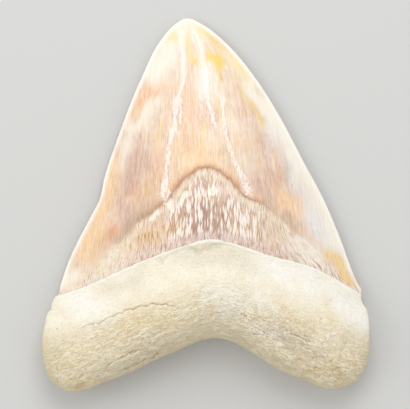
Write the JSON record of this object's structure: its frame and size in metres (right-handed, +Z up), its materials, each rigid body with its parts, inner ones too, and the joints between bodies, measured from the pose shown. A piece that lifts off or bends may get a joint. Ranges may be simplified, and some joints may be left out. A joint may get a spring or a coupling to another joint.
{
  "type": "fossil megalodon tooth",
  "caption": "Large triangular fossil shark tooth with a smooth pointed enamel crown, a striated band above the root and a thick arched root with rounded lobes, lying on its flat face.",
  "frame": {"origin": "centre of the tooth's bounding box, at the level of the surface that it lies on", "axes": "+Z up, out of the arched inner face; +Y towards the tip; +X to the right as seen from above with the tip away from the viewer"},
  "size_m": [0.1046, 0.1196, 0.026],
  "materials": {
    "fossil_tooth": "mineralised tooth: glossy cream, peach and amber enamel with fine lengthwise streaks, a darker striated band, and a matt cream to buff root with fine fibrous lines"
  },
  "bodies": {
    "root": {"tooth": "fossil_tooth"}
  },
  "joints": []
}
